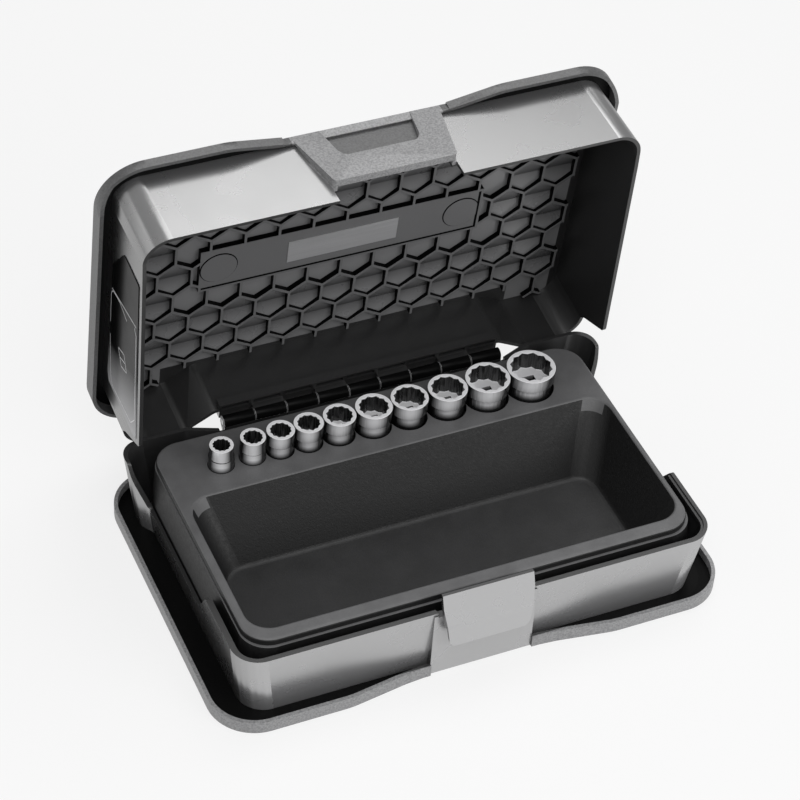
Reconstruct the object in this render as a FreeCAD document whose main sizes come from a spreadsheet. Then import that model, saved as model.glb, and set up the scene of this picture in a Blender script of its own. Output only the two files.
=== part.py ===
import FreeCAD, Part
import math
import os
import Sketcher

# Hinged socket-set case: base shell with a hinged lid, a moulded tray insert
# and ten loose sockets.  Millimetres.  X runs along the case, Y from the front
# (latch side) to the back (hinge side), Z up.  The origin is the middle of the
# base's bottom face.  The lid stands open.

doc = FreeCAD.newDocument("SocketCase")

SIZES = {
    # how far one form sinks into the next, and how far a cut runs past the material
    "overlap": 0.5,
    "margin": 5.0,
    # base shell
    "wall": 2.4,
    "edge_half_length": 170.0,
    "edge_front": 110.0,
    "edge_rear": 115.0,
    "edge_corner": 30.0,
    "edge_height": 9.0,
    "edge_thickness": 2.4,
    "plate": 3.0,
    "base_top": 57.0,
    "base_rim": 52.6,
    "low_rim": 24.5,
    "base_half": 158.2,
    "base_foot_half": 151.5,
    "base_front": 101.7,
    "base_foot_front": 96.5,
    "base_corner": 17.5,
    "base_rear": 97.5,
    "base_foot_rear": 96.0,
    "ear_half": 164.5,
    "ear_foot_half": 157.5,
    "ear_start": 66.0,
    "ear_full": 75.0,
    "ear_start_round": 3.0,
    "ear_full_round": 6.0,
    "ear_corner": 13.0,
    "ear_rim": 56.0,
    "ear_rim_start": 67.0,
    "ear_rim_full": 79.0,
    "recess_rear": 90.0,
    "recess_foot_rear": 89.5,
    "recess_round": 8.0,
    "rear_gap_up": 53.5,
    "recess_half": 99.0,
    "recess_shoulder": 118.0,
    "rim_step": 4.8,
    "rim_step_low": 48.4,
    "rim_step_high": 51.4,
    "jog_front": 42.0,
    "jog_back": 22.0,
    "rim_round": 3.0,
    "gap_half": 39.0,
    "gap_front": 103.5,
    "gap_blend": 12.0,
    "gap_blend_depth": 1.0,
    "sweep_half": 88.0,
    "sweep_round": 60.0,
    "panel_half": 34.0,
    "panel_face": 101.8,
    "panel_back": 97.2,
    "panel_top": 50.5,
    "notch_half": 31.5,
    "notch_up": 49.5,
    # hinge
    "hinge_back": 91.3,
    "hinge_up": 59.4,
    "knuckle_radius": 3.9,
    "pin_radius": 2.0,
    "pin_clearance": 0.05,
    "knuckle_pitch": 21.5,
    "knuckle_gap": 0.5,
    "web_front_up": 45.4,
    "web_back_up": 56.4,
    "open_angle": 81.75,
    # latch flap
    "flap_half": 30.0,
    "flap_tip_half": 26.0,
    "flap_thick": 2.2,
    "flap_top": 67.5,
    "flap_top_front": 102.0,
    "flap_bend": 46.0,
    "flap_bend_front": 109.4,
    "flap_bend_round": 12.0,
    "flap_inner_round": 10.0,
    "flap_tip": 30.5,
    "flap_tip_front": 110.6,
    "flap_tip_round": 8.0,
    "flap_tip_low": 29.0,
    "flap_taper_up": 62.0,
    "cheek_thick": 2.0,
    "cheek_back": 102.8,
    "cheek_sink": 0.2,
    "cheek_round": 6.0,
    "cheek_low": 42.0,
    "cheek_high": 52.0,
    "cheek_tip_back": 106.4,
    "cheek_tip_up": 32.0,
    "cheek_top_back": 100.4,
    "cheek_top_up": 66.0,
    "flap_pivot_front": 103.3,
    "flap_pivot_up": 47.0,
    "flap_rod": 1.3,
    "rod_clearance": 0.06,
    "clip_radius": 2.4,
    "clip_width": 4.0,
    "clip_spread": 22.0,
    # tray insert
    "tray_foot_half": 148.6,
    "tray_foot_front": 93.0,
    "tray_foot_rear": 85.9,
    "tray_waist_half": 151.0,
    "tray_waist_front": 93.4,
    "tray_waist_rear": 86.4,
    "tray_waist_up": 26.0,
    "tray_half": 147.7,
    "tray_front": 90.5,
    "tray_rear": 86.9,
    "tray_top": 57.1,
    "tray_bottom": 3.1,
    "tray_skin": 2.0,
    "tray_corner": 18.0,
    "deck_step": 1.8,
    "deck_step_up": 52.4,
    "deck_round": 2.0,
    "bin_left": 142.0,
    "bin_right": 144.0,
    "bin_front": 81.0,
    "bin_rear": 35.0,
    "bin_floor": 12.0,
    "bin_floor_half": 128.0,
    "bin_floor_front": 73.0,
    "bin_floor_rear": 10.0,
    "bin_corner": 16.0,
    "bin_floor_round": 4.0,
    "bin_mouth_round": 1.6,
    "tub_wall": 1.2,
    "cup_wall": 1.6,
    # sockets
    "socket_row": 57.7,
    "socket_top": 74.3,
    "socket_length": 30.0,
    "broach_depth": 13.0,
    "ring_height": 9.0,
    "drive_square": 9.6,
    "pocket_clearance": 0.35,
    "seat_clearance": 0.1,
    # lid, in its closed position
    "lid_half": 160.7,
    "lid_front": 105.5,
    "lid_root_front": 99.3,
    "lid_rear": 101.0,
    "lid_corner": 18.0,
    "lid_recess": 89.4,
    "lid_top": 109.5,
    "lid_bottom": 36.0,
    "lid_edge_front": 109.0,
    "lid_edge_gap": 101.5,
    "lid_edge_height": 11.5,
    "lid_edge_low": 6.2,
    "lid_edge_slope": 80.0,
    "lid_edge_slope_front": 97.5,
    "lid_rim_front": 50.3,
    "lid_rim_side": 49.0,
    "lid_rim_front_end": 88.0,
    "lid_rim_side_start": 76.0,
    "lid_rim_round": 10.0,
    "lid_tip_back": 67.0,
    "lid_tip_up": 38.5,
    "lid_notch_back": 80.0,
    "lid_notch_up": 62.0,
    "lid_notch_round": 2.5,
    "lid_rim_rear": 66.2,
    "lid_rim_rear_start": 84.0,
    "boss_front": 110.0,
    "boss_half": 48.5,
    "boss_foot_half": 39.3,
    "boss_back": 99.2,
    "boss_bottom": 61.0,
    "boss_corner": 3.0,
    "slot_half": 29.5,
    "slot_foot_half": 25.5,
    "slot_bottom": 81.5,
    "slot_corner": 9.0,
    "strap_back": 104.7,
    "hollow_half": 37.0,
    "hollow_top": 73.0,
    "beam_lip": 82.5,
    "beam_back": 94.0,
    "beam_bottom": 65.0,
    "beam_height": 6.0,
    "cell_depth": 4.5,
    "cell_rib": 1.4,
    "cell_back": 87.1,
    # pattern, bar and labels of the lid
    "comb_pitch": 22.5,
    "comb_row": 21.9,
    "comb_middle": -3.0,
    "comb_shift": 5.6,
    "comb_rib": 1.6,
    "comb_height": 4.0,
    "comb_left": 157.0,
    "comb_right": 153.0,
    "comb_front": 96.0,
    "comb_rear": 84.0,
    "comb_corner": 15.0,
    "bar_left": 102.0,
    "bar_right": 88.0,
    "bar_front": 23.5,
    "bar_rear": 12.7,
    "disc_radius": 12.0,
    "disc_height": 0.5,
    "disc_left": -89.6,
    "disc_right": 73.8,
    "disc_back": -6.5,
    "nameplate_left": 44.0,
    "nameplate_length": 74.0,
    "nameplate_front": 15.0,
    "nameplate_width": 18.0,
    "label_thick": 0.5,
    "label_top": 97.0,
    "label_front": 66.0,
    "label_rear": 66.7,
    "label_front_low": 53.0,
    "label_rear_low": 43.5,
    "label_cut_front": 39.0,
    "label_cut_up": 79.0,
    "label_cut_rear": 59.7,
    "label_cut_rear_up": 94.0,
    "label_round": 2.0,
    "label_cut_round": 6.0,
}

# nut size, centre along the case, ring radius, body radius below the ring
SOCKETS = [
    (10, -110.0, 7.6, 8.3),
    (11, -89.1, 8.1, 8.3),
    (12, -70.6, 9.0, 8.7),
    (13, -51.7, 9.5, 9.0),
    (15, -30.8, 10.6, 9.8),
    (17, -7.3, 12.0, 11.2),
    (18, 17.3, 12.2, 10.4),
    (19, 43.9, 12.9, 11.3),
    (22, 72.0, 14.6, 13.0),
    (24, 102.9, 15.9, 14.2),
]

# how near a measured edge has to be to count as level or in place
NEAR = 0.01
# straight run left between two rounded corners
SHORT_STRAIGHT = 0.1
# share of an inset by which the ends of a slanted run move
SLANT_SHARE = 0.5
# how many times a half length a cut reaches, so that it passes both ends
SWEEP_PAST = 2.2
BROACH_CORNERS = 24
CUP_SIDES = 8
# rows and columns of cells to each side of the middle, and the least rib kept, in mm3
COMB_ROWS = 5
COMB_COLUMNS = 8
COMB_SCRAP = 200.0

sheet = doc.addObject("Spreadsheet::Sheet", "Sheet")
for row, (alias, number) in enumerate(SIZES.items(), start=1):
    sheet.set(f"A{row}", alias)
    sheet.set(f"B{row}", str(number))
    sheet.setAlias(f"B{row}", alias)
doc.recompute()


class Size:
    """A length: its value in mm with the expression over the sheet that gives it."""

    def __init__(self, value, text):
        self.value = value
        self.text = text

    def __add__(self, other):
        other = as_size(other)
        return Size(self.value + other.value, f"({self.text} + {other.text})")

    def __radd__(self, other):
        return as_size(other) + self

    def __sub__(self, other):
        other = as_size(other)
        return Size(self.value - other.value, f"({self.text} - {other.text})")

    def __rsub__(self, other):
        return as_size(other) - self

    def __mul__(self, factor):
        factor = as_size(factor)
        return Size(self.value * factor.value, f"({self.text} * {factor.text})")

    def __truediv__(self, factor):
        factor = as_size(factor)
        return Size(self.value / factor.value, f"({self.text} / {factor.text})")

    def __neg__(self):
        return Size(-self.value, f"(-1 * {self.text})")


def as_size(number):
    if isinstance(number, Size):
        return number
    return Size(float(number), f"({float(number)!r})")


def size(alias):
    return Size(SIZES[alias], f"Sheet.{alias}")


def plane_of(body, role):
    return next(item for item in body.Origin.OriginFeatures if item.Role == role)


def new_body(label):
    body = doc.addObject("PartDesign::Body", label)
    body.Label = label
    return body


def new_sketch(body, name, role, offset):
    """A sketch on one of the body's own planes, moved along that plane's normal."""
    sketch = body.newObject("Sketcher::SketchObject", name)
    sketch.AttachmentSupport = [(plane_of(body, role), "")]
    sketch.MapMode = "FlatFace"
    offset = as_size(offset)
    sketch.AttachmentOffset = FreeCAD.Placement(FreeCAD.Vector(0, 0, offset.value), FreeCAD.Rotation())
    sketch.setExpression("AttachmentOffset.Base.z", offset.text)
    return sketch


def bind(sketch, index, length):
    sketch.setExpression(f"Constraints[{index}]", length.text)


def pin_point(sketch, item, position, x, y):
    """Holds one point of the sketch at x, y from its origin."""
    for kind, length in (("DistanceX", as_size(x)), ("DistanceY", as_size(y))):
        index = sketch.addConstraint(Sketcher.Constraint(kind, -1, 1, item, position, length.value))
        bind(sketch, index, length)


def draw_outline(sketch, corners):
    """A closed outline of straight runs between corners (x, y, radius)."""
    count = len(corners)
    points = [FreeCAD.Vector(as_size(x).value, as_size(y).value, 0) for x, y, _ in corners]
    back = [(points[i - 1] - points[i]).normalize() for i in range(count)]
    ahead = [(points[(i + 1) % count] - points[i]).normalize() for i in range(count)]
    half_angle = [back[i].getAngle(ahead[i]) / 2 for i in range(count)]
    trims = [as_size(corners[i][2]).value / math.tan(half_angle[i]) for i in range(count)]
    lines = []
    for i in range(count):
        first = points[i] + ahead[i] * trims[i]
        last = points[(i + 1) % count] - ahead[i] * trims[(i + 1) % count]
        lines.append(sketch.addGeometry(Part.LineSegment(first, last), False))
    for i, (x, y, radius) in enumerate(corners):
        radius = as_size(radius)
        before = lines[i - 1]
        after = lines[i]
        if radius.value == 0:
            sketch.addConstraint(Sketcher.Constraint("Coincident", before, 2, after, 1))
            pin_point(sketch, after, 1, x, y)
            continue
        start = sketch.Geometry[before].EndPoint
        end = sketch.Geometry[after].StartPoint
        inward = (back[i] + ahead[i]).normalize()
        middle = points[i] + inward * (radius.value / math.sin(half_angle[i]) - radius.value)
        arc = sketch.addGeometry(Part.Arc(start, middle, end), False)
        corner = sketch.addGeometry(Part.Point(points[i]), True)
        turns_left = back[i].cross(ahead[i]).z < 0
        arc_first, arc_last = (1, 2) if turns_left else (2, 1)
        sketch.addConstraint(Sketcher.Constraint("Tangent", before, 2, arc, arc_first))
        sketch.addConstraint(Sketcher.Constraint("Tangent", arc, arc_last, after, 1))
        sketch.addConstraint(Sketcher.Constraint("PointOnObject", corner, 1, before))
        sketch.addConstraint(Sketcher.Constraint("PointOnObject", corner, 1, after))
        pin_point(sketch, corner, 1, x, y)
        index = sketch.addConstraint(Sketcher.Constraint("Radius", arc, radius.value))
        bind(sketch, index, radius)


def outline(body, name, height, corners, role="XY_Plane"):
    sketch = new_sketch(body, name, role, height)
    draw_outline(sketch, corners)
    return sketch


def circle(body, name, role, offset, x, y, radius):
    sketch = new_sketch(body, name, role, offset)
    centre = FreeCAD.Vector(as_size(x).value, as_size(y).value, 0)
    item = sketch.addGeometry(Part.Circle(centre, FreeCAD.Vector(0, 0, 1), as_size(radius).value), False)
    pin_point(sketch, item, 3, x, y)
    index = sketch.addConstraint(Sketcher.Constraint("Radius", item, as_size(radius).value))
    bind(sketch, index, as_size(radius))
    return sketch


def rectangle(x0, y0, x1, y1, radius=0):
    return [(x0, y0, radius), (x1, y0, radius), (x1, y1, radius), (x0, y1, radius)]


def feature(body, kind, name, sketch, length, reverse=False, both=False):
    """Pad or pocket of a given length; a pocket has to take material away."""
    before = body.Shape.Volume if body.Tip else 0.0
    item = body.newObject(f"PartDesign::{kind}", name)
    item.Profile = sketch
    length = as_size(length)
    item.Length = length.value
    item.setExpression("Length", length.text)
    item.Reversed = reverse
    if both:
        item.SideType = "Symmetric"
    doc.recompute()
    if kind == "Pocket" and body.Shape.Volume >= before:
        raise RuntimeError(f"{body.Label}: {name} takes nothing away")
    return item


def loft(body, kind, name, sketches):
    item = body.newObject(f"PartDesign::{kind}Loft", name)
    item.Profile = sketches[0]
    item.Sections = sketches[1:]
    item.Ruled = True
    doc.recompute()
    return item


def wedge(body, kind, name, low, high, low_sides, high_sides):
    """Block between two levels with straight sloping sides: left, front, right, rear."""
    item = body.newObject(f"PartDesign::{kind}Wedge", name)
    upright = FreeCAD.Rotation(FreeCAD.Vector(1, 0, 0), 90)
    item.Placement = FreeCAD.Placement(FreeCAD.Vector(), upright)
    item.setExpression("Ymin", low.text)
    item.setExpression("Ymax", high.text)
    for prefix, (left, front, right, rear) in (("", low_sides), ("2", high_sides)):
        item.setExpression(f"X{prefix}min", left.text)
        item.setExpression(f"X{prefix}max", right.text)
        item.setExpression(f"Z{prefix}min", (-rear).text)
        item.setExpression(f"Z{prefix}max", (-front).text)
    doc.recompute()
    return item


def repeat(body, name, item, step, count):
    """A row of copies of a feature along X."""
    row = body.newObject("PartDesign::LinearPattern", name)
    row.Originals = [item]
    row.Direction = (plane_of(body, "X_Axis"), [""])
    length = step * (count - 1)
    row.Length = length.value
    row.setExpression("Length", length.text)
    row.Occurrences = count
    body.Tip = row
    doc.recompute()


def edges_where(body, wanted):
    """Names of the body's edges whose bounding box passes the test."""
    numbered = enumerate(body.Shape.Edges, start=1)
    return [f"Edge{number}" for number, edge in numbered if wanted(edge.BoundBox)]


def round_edges(body, name, wanted, radius):
    base = body.Tip
    edges = edges_where(body, wanted)
    item = body.newObject("PartDesign::Fillet", name)
    item.Base = (base, edges)
    item.Radius = radius.value
    item.setExpression("Radius", radius.text)
    doc.recompute()
    return item


# ---------------------------------------------------------------- base shell
def edge_outline(front, gap_front, inset):
    """Plan of a raised edge: full depth at the corners, swept back by the latch."""
    half = size("edge_half_length") - inset
    rear = size("edge_rear") - inset
    radius = size("edge_corner") - inset
    front = front - inset
    gap = gap_front - inset
    sweep = size("sweep_half")
    end = size("gap_half")
    right = [
        (end, -gap, 0),
        (end + size("gap_blend"), -gap - size("gap_blend_depth"), 0),
        (sweep, -front, size("sweep_round")),
        (half, -front, radius),
        (half, rear, radius),
    ]
    return right + mirrored(right)


def mirrored(corners):
    """The same corners on the other side of the case, in order."""
    return [(-x, y, radius) for x, y, radius in reversed(corners)]


def base_wall_outline(half, front, rear, recess, ear, inset):
    """Plan of the base's wall, with a wider ear at each rear corner."""
    shoulder = size("recess_shoulder") + inset * SLANT_SHARE
    hollow = size("recess_half") + inset * SLANT_SHARE
    right = [
        (half - inset, -front + inset, size("base_corner") - inset),
        (half - inset, size("ear_start") + inset * SLANT_SHARE, size("ear_start_round")),
        (ear - inset, size("ear_full") + inset * SLANT_SHARE, size("ear_full_round")),
        (ear - inset, rear - inset, size("ear_corner")),
        (shoulder, rear - inset, size("recess_round")),
        (hollow, recess - inset, size("recess_round")),
    ]
    return right + mirrored(right)


def rim_shelf_outline():
    """The step inside the high front part of the rim: a U around the tray."""
    sink = size("wall") - size("overlap")
    half = size("base_half") - sink
    front = size("base_front") - sink
    corner = size("base_corner") - sink
    back = -size("jog_front") - size("overlap")
    inner = size("rim_step") - sink
    return [
        (-half, back, 0),
        (-half, -front, corner),
        (half, -front, corner),
        (half, back, 0),
        (half - inner, back, 0),
        (half - inner, -front + inner, corner - inner),
        (-half + inner, -front + inner, corner - inner),
        (-half + inner, back, 0),
    ]


def add_rim_cut(body):
    """Rim seen from the side: high at the front, low along the tray, high at the ears."""
    high = size("base_rim")
    low = size("low_rim")
    ear = size("ear_rim")
    above = size("base_top") + size("margin")
    beyond = -size("edge_front") - size("margin")
    corner = size("rim_round")
    rim = new_sketch(body, "RimProfile", "YZ_Plane", 0)
    draw_outline(rim, [
        (beyond, high, 0),
        (-size("jog_front"), high, corner),
        (-size("jog_back"), low, corner),
        (size("ear_rim_start"), low, corner),
        (size("ear_rim_full"), ear, corner),
        (size("edge_rear"), ear, 0),
        (size("edge_rear"), above, 0),
        (beyond, above, 0),
    ])
    feature(body, "Pocket", "RimCut", rim, size("edge_half_length") * SWEEP_PAST, both=True)


def add_base_knuckles(body):
    """Five knuckles on the rear wall, each carried by a web."""
    radius = size("knuckle_radius")
    pitch = size("knuckle_pitch")
    front = size("hinge_back") - radius
    back = size("hinge_back") + radius
    web = new_sketch(body, "KnuckleProfile", "YZ_Plane", pitch * -4.5 + size("knuckle_gap") / 2)
    draw_outline(web, [
        (front, size("web_front_up"), 0),
        (back, size("web_back_up"), 0),
        (back, size("hinge_up") + radius, radius - SHORT_STRAIGHT),
        (front, size("hinge_up") + radius, radius - SHORT_STRAIGHT),
    ])
    knuckle = feature(body, "Pad", "Knuckle", web, pitch - size("knuckle_gap"))
    repeat(body, "KnuckleRow", knuckle, pitch * 2, 5)
    add_pin_bore(body, "PinHole")


def add_pin_bore(body, name):
    radius = size("pin_radius") + size("pin_clearance")
    bore = circle(body, f"{name}Circle", "YZ_Plane", 0, size("hinge_back"), size("hinge_up"), radius)
    feature(body, "Pocket", name, bore, size("knuckle_pitch") * 10, both=True)


def add_clips(body):
    """Two bored clips on the front panel, which hold the rod of the latch flap."""
    front = -size("flap_pivot_front")
    up = size("flap_pivot_up")
    grip = size("clip_radius")
    root = -size("panel_face") + size("overlap")
    right_place = size("clip_spread") - size("clip_width")
    for side, place in (("Left", -size("clip_spread")), ("Right", right_place)):
        clip = new_sketch(body, f"Clip{side}Profile", "YZ_Plane", place)
        draw_outline(clip, [
            (front - grip, up - grip, grip - SHORT_STRAIGHT),
            (root, up - grip, 0),
            (root, up + grip, 0),
            (front - grip, up + grip, grip - SHORT_STRAIGHT),
        ])
        feature(body, "Pad", f"Clip{side}", clip, size("clip_width"))
    bore = circle(body, "ClipBore", "YZ_Plane", 0, front, up, size("flap_rod") + size("rod_clearance"))
    feature(body, "Pocket", "ClipHole", bore, size("flap_half") * 2, both=True)


def make_base():
    body = new_body("base_shell")
    front = size("edge_front")
    gap = size("gap_front")
    height = size("edge_height")
    plate = outline(body, "BasePlateOutline", 0, edge_outline(front, gap, as_size(0)))
    feature(body, "Pad", "BasePlate", plate, size("plate"))
    edge = outline(body, "BaseEdgeOutline", 0, edge_outline(front, gap, as_size(0)))
    feature(body, "Pad", "BaseEdge", edge, height)
    groove = outline(body, "BaseGrooveOutline", height, edge_outline(front, gap, size("edge_thickness")))
    feature(body, "Pocket", "BaseGroove", groove, height - size("plate"))
    foot = (
        size("base_foot_half"),
        size("base_foot_front"),
        size("base_foot_rear"),
        size("recess_foot_rear"),
        size("ear_foot_half"),
    )
    top = (size("base_half"), size("base_front"), size("base_rear"), size("recess_rear"), size("ear_half"))
    for kind, name, inset in (("Additive", "Wall", as_size(0)), ("Subtractive", "Inside", size("wall"))):
        low = outline(body, f"{name}Foot", size("plate"), base_wall_outline(*foot, inset))
        high = outline(body, f"{name}Top", size("base_top"), base_wall_outline(*top, inset))
        loft(body, kind, name, [low, high])
    half = size("panel_half")
    panel_shape = rectangle(-half, -size("panel_face"), half, -size("panel_back"))
    panel = outline(body, "LatchPanelOutline", 0, panel_shape)
    feature(body, "Pad", "LatchPanel", panel, size("panel_top"))
    break_shape = rectangle(-half, -size("edge_front"), half, -size("panel_face"))
    edge_break = outline(body, "EdgeBreakOutline", height + size("overlap"), break_shape)
    feature(body, "Pocket", "EdgeBreak", edge_break, height + size("overlap") * 2)
    shelf = outline(body, "RimShelfOutline", size("rim_step_low"), rim_shelf_outline())
    feature(body, "Pad", "RimShelf", shelf, size("rim_step_high") - size("rim_step_low"))
    add_rim_cut(body)
    over = size("base_top") + size("overlap")
    gap_half = size("recess_half") + size("overlap")
    gap_shape = rectangle(-gap_half, size("ear_start"), gap_half, size("edge_rear"))
    rear_gap = outline(body, "RearGapOutline", over, gap_shape)
    feature(body, "Pocket", "RearGap", rear_gap, over - size("rear_gap_up"))
    notch_half = size("notch_half")
    notch_front = -size("base_front") - size("margin")
    notch_shape = rectangle(-notch_half, notch_front, notch_half, -size("base_foot_front"))
    notch = outline(body, "LatchNotchOutline", over, notch_shape)
    feature(body, "Pocket", "LatchNotch", notch, over - size("notch_up"))
    add_base_knuckles(body)
    add_clips(body)
    return body


# ---------------------------------------------------------------- latch flap
def make_flap():
    """Bent finger plate with side cheeks and the rod that snaps into the base's clips."""
    body = new_body("latch_flap")
    half = size("flap_half")
    thick = size("flap_thick")
    top = (-size("flap_top_front"), size("flap_top"))
    bend = (-size("flap_bend_front"), size("flap_bend"))
    tip = (-size("flap_tip_front"), size("flap_tip"))
    profile = new_sketch(body, "FlapProfile", "YZ_Plane", 0)
    draw_outline(profile, [
        (*top, 0),
        (*bend, size("flap_bend_round")),
        (*tip, 0),
        (tip[0] + thick, tip[1], 0),
        (bend[0] + thick, bend[1], size("flap_inner_round")),
        (top[0] + thick, top[1], 0),
    ])
    feature(body, "Pad", "FlapPlate", profile, half * 2, both=True)
    cheek_back = -size("cheek_back")
    sink = size("cheek_sink")
    for side, place in (("Left", -half), ("Right", half - size("cheek_thick"))):
        cheek = new_sketch(body, f"Cheek{side}Profile", "YZ_Plane", place)
        draw_outline(cheek, [
            (top[0] + sink, top[1] - size("overlap"), 0),
            (bend[0] + sink, bend[1], size("cheek_round")),
            (tip[0] + sink, tip[1], 0),
            (-size("cheek_tip_back"), size("cheek_tip_up"), 0),
            (cheek_back, size("cheek_low"), 0),
            (cheek_back, size("cheek_high"), 0),
            (-size("cheek_top_back"), size("cheek_top_up"), 0),
        ])
        feature(body, "Pad", f"Cheek{side}", cheek, size("cheek_thick"))
    pivot = (-size("flap_pivot_front"), size("flap_pivot_up"))
    rod = circle(body, "RodCircle", "YZ_Plane", 0, *pivot, size("flap_rod"))
    feature(body, "Pad", "Rod", rod, half * 2 - size("cheek_thick"), both=True)
    tip_half = size("flap_tip_half")
    tip_low = size("flap_tip_low")
    tip_round = size("flap_tip_round")
    taper_top = size("flap_taper_up")
    taper_half = half + size("overlap")
    side = half + size("margin")
    below = tip_low - size("margin")
    trim = new_sketch(body, "FlapFront", "XZ_Plane", size("tray_front"))
    draw_outline(trim, [
        (-tip_half, tip_low, tip_round),
        (tip_half, tip_low, tip_round),
        (taper_half, taper_top, 0),
        (side, taper_top, 0),
        (side, below, 0),
        (-side, below, 0),
        (-side, taper_top, 0),
        (-taper_half, taper_top, 0),
    ])
    trim_depth = size("flap_tip_front") - size("tray_front") + size("margin")
    feature(body, "Pocket", "FlapCorners", trim, trim_depth, reverse=True)
    return body


# ----------------------------------------------------------------- hinge pin
def make_pin():
    body = new_body("hinge_pin")
    centre = (size("hinge_back"), size("hinge_up"))
    section = circle(body, "PinSection", "YZ_Plane", 0, *centre, size("pin_radius"))
    feature(body, "Pad", "Pin", section, size("knuckle_pitch") * 9, both=True)
    return body


# --------------------------------------------------------------- tray insert
def tray_outline(half, front, rear, inset):
    half = half - inset
    return rectangle(-half, -front + inset, half, rear - inset, size("tray_corner") - inset)


def bin_floor_sides(grow):
    """Left, front, right and rear of the bin's floor."""
    half = size("bin_floor_half") + grow
    return -half, -size("bin_floor_front") - grow, half, size("bin_floor_rear") + grow


def bin_mouth_sides(grow):
    """Left, front, right and rear of the bin's mouth."""
    left = -size("bin_left") - grow
    right = size("bin_right") + grow
    return left, -size("bin_front") - grow, right, size("bin_rear") + grow


def corner_edge_from(level):
    """Test for the slanted edges that climb from a level at the corners of the bin."""
    def wanted(box):
        climbs = abs(box.ZMin - level.value) < NEAR and box.ZLength > NEAR
        return climbs and box.XLength > 1 and box.YLength > 1

    return wanted


def level_at(height, half, front, rear):
    """Test for the level edges at a height within a half length, front and rear."""
    def wanted(box):
        level = abs(box.ZMin - height.value) < NEAR and box.ZLength < NEAR
        inside = max(-box.XMin, box.XMax) < half.value
        return level and inside and box.YMin > -front.value and box.YMax < rear.value

    return wanted


def tray_edge(box):
    """Test for the edges of the deck's outer outline."""
    level = abs(box.ZMax - SIZES["tray_top"]) < NEAR and box.ZLength < NEAR
    side = max(-box.XMin, box.XMax) > SIZES["tray_half"] - NEAR
    front = box.YMin < -SIZES["tray_front"] + NEAR
    rear = box.YMax > SIZES["tray_rear"] - NEAR
    return level and (side or front or rear)


def octagon(x, y, across):
    """A regular eight-sided outline, flat to flat as given."""
    half_turn = math.pi / CUP_SIDES
    reach = across / 2 / math.cos(half_turn)
    corners = []
    for step in range(CUP_SIDES):
        angle = half_turn * (2 * step + 1)
        corners.append((x + reach * math.cos(angle), y + reach * math.sin(angle), 0))
    return corners


def make_tray():
    body = new_body("tray_insert")
    skin = size("tray_skin")
    bottom = size("tray_bottom")
    waist_up = size("tray_waist_up")
    step_up = size("deck_step_up")
    step = size("deck_step")
    top = size("tray_top")
    foot = (size("tray_foot_half"), size("tray_foot_front"), size("tray_foot_rear"))
    waist = (size("tray_waist_half"), size("tray_waist_front"), size("tray_waist_rear"))
    deck = (size("tray_half"), size("tray_front"), size("tray_rear"))
    ledge = (deck[0] + step / 2, deck[1] + step, deck[2])
    none = as_size(0)
    skirt = [
        outline(body, "SkirtFoot", bottom, tray_outline(*foot, none)),
        outline(body, "SkirtWaist", waist_up, tray_outline(*waist, none)),
        outline(body, "SkirtLedge", step_up, tray_outline(*ledge, none)),
    ]
    loft(body, "Additive", "Skirt", skirt)
    deck_bottom = step_up - size("overlap")
    raised = outline(body, "DeckOutline", deck_bottom, tray_outline(*deck, none))
    feature(body, "Pad", "Deck", raised, top - deck_bottom)
    under = [
        outline(body, "UnderFoot", bottom, tray_outline(*foot, skin)),
        outline(body, "UnderWaist", waist_up, tray_outline(*waist, skin)),
        outline(body, "UnderDeck", top - skin, tray_outline(*deck, skin)),
    ]
    loft(body, "Subtractive", "Underside", under)
    tub_bottom = size("bin_floor") - skin
    tub_top = top - skin / 2
    tub_sides = (bin_floor_sides(skin), bin_mouth_sides(size("tub_wall")))
    wedge(body, "Additive", "Tub", tub_bottom, tub_top, *tub_sides)
    seat_bottom = size("socket_top") - size("socket_length") - size("seat_clearance")
    cup_bottom = seat_bottom - skin
    for nut, x, ring, barrel in SOCKETS:
        across = 2 * (max(ring, barrel) + SIZES["cup_wall"])
        cup = outline(body, f"Cup{nut}Outline", cup_bottom, octagon(x, SIZES["socket_row"], across))
        feature(body, "Pad", f"Cup{nut}", cup, top - skin / 2 - cup_bottom)
    floor = size("bin_floor")
    wedge(body, "Subtractive", "Bin", floor, top, bin_floor_sides(none), bin_mouth_sides(none))
    round_edges(body, "BinCorners", corner_edge_from(floor), size("bin_corner"))
    floor_area = [size(name) + NEAR for name in ("bin_floor_half", "bin_floor_front", "bin_floor_rear")]
    round_edges(body, "BinFloorRound", level_at(floor, *floor_area), size("bin_floor_round"))
    mouth_area = [size(name) + NEAR for name in ("bin_right", "bin_front", "bin_rear")]
    round_edges(body, "BinMouthRound", level_at(top, *mouth_area), size("bin_mouth_round"))
    round_edges(body, "DeckRound", tray_edge, size("deck_round"))
    for nut, x, ring, barrel in SOCKETS:
        radius = size("pocket_clearance") + max(ring, barrel)
        seat = circle(body, f"Seat{nut}Circle", "XY_Plane", top, x, size("socket_row"), radius)
        feature(body, "Pocket", f"Seat{nut}", seat, top - seat_bottom)
    return body


# ------------------------------------------------------------------- sockets
def broach_outline(nut, place):
    """Twelve-point opening: two hexagons of the nut's width, a twelfth of a turn apart."""
    twist = 2 * math.pi / BROACH_CORNERS
    corners = []
    for step in range(BROACH_CORNERS):
        angle = twist * step
        reach = nut / 2 / math.cos(2 * twist if step % 2 == 0 else twist)
        x = place + reach * math.cos(angle)
        corners.append((x, size("socket_row") + reach * math.sin(angle), 0))
    return corners


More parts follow.
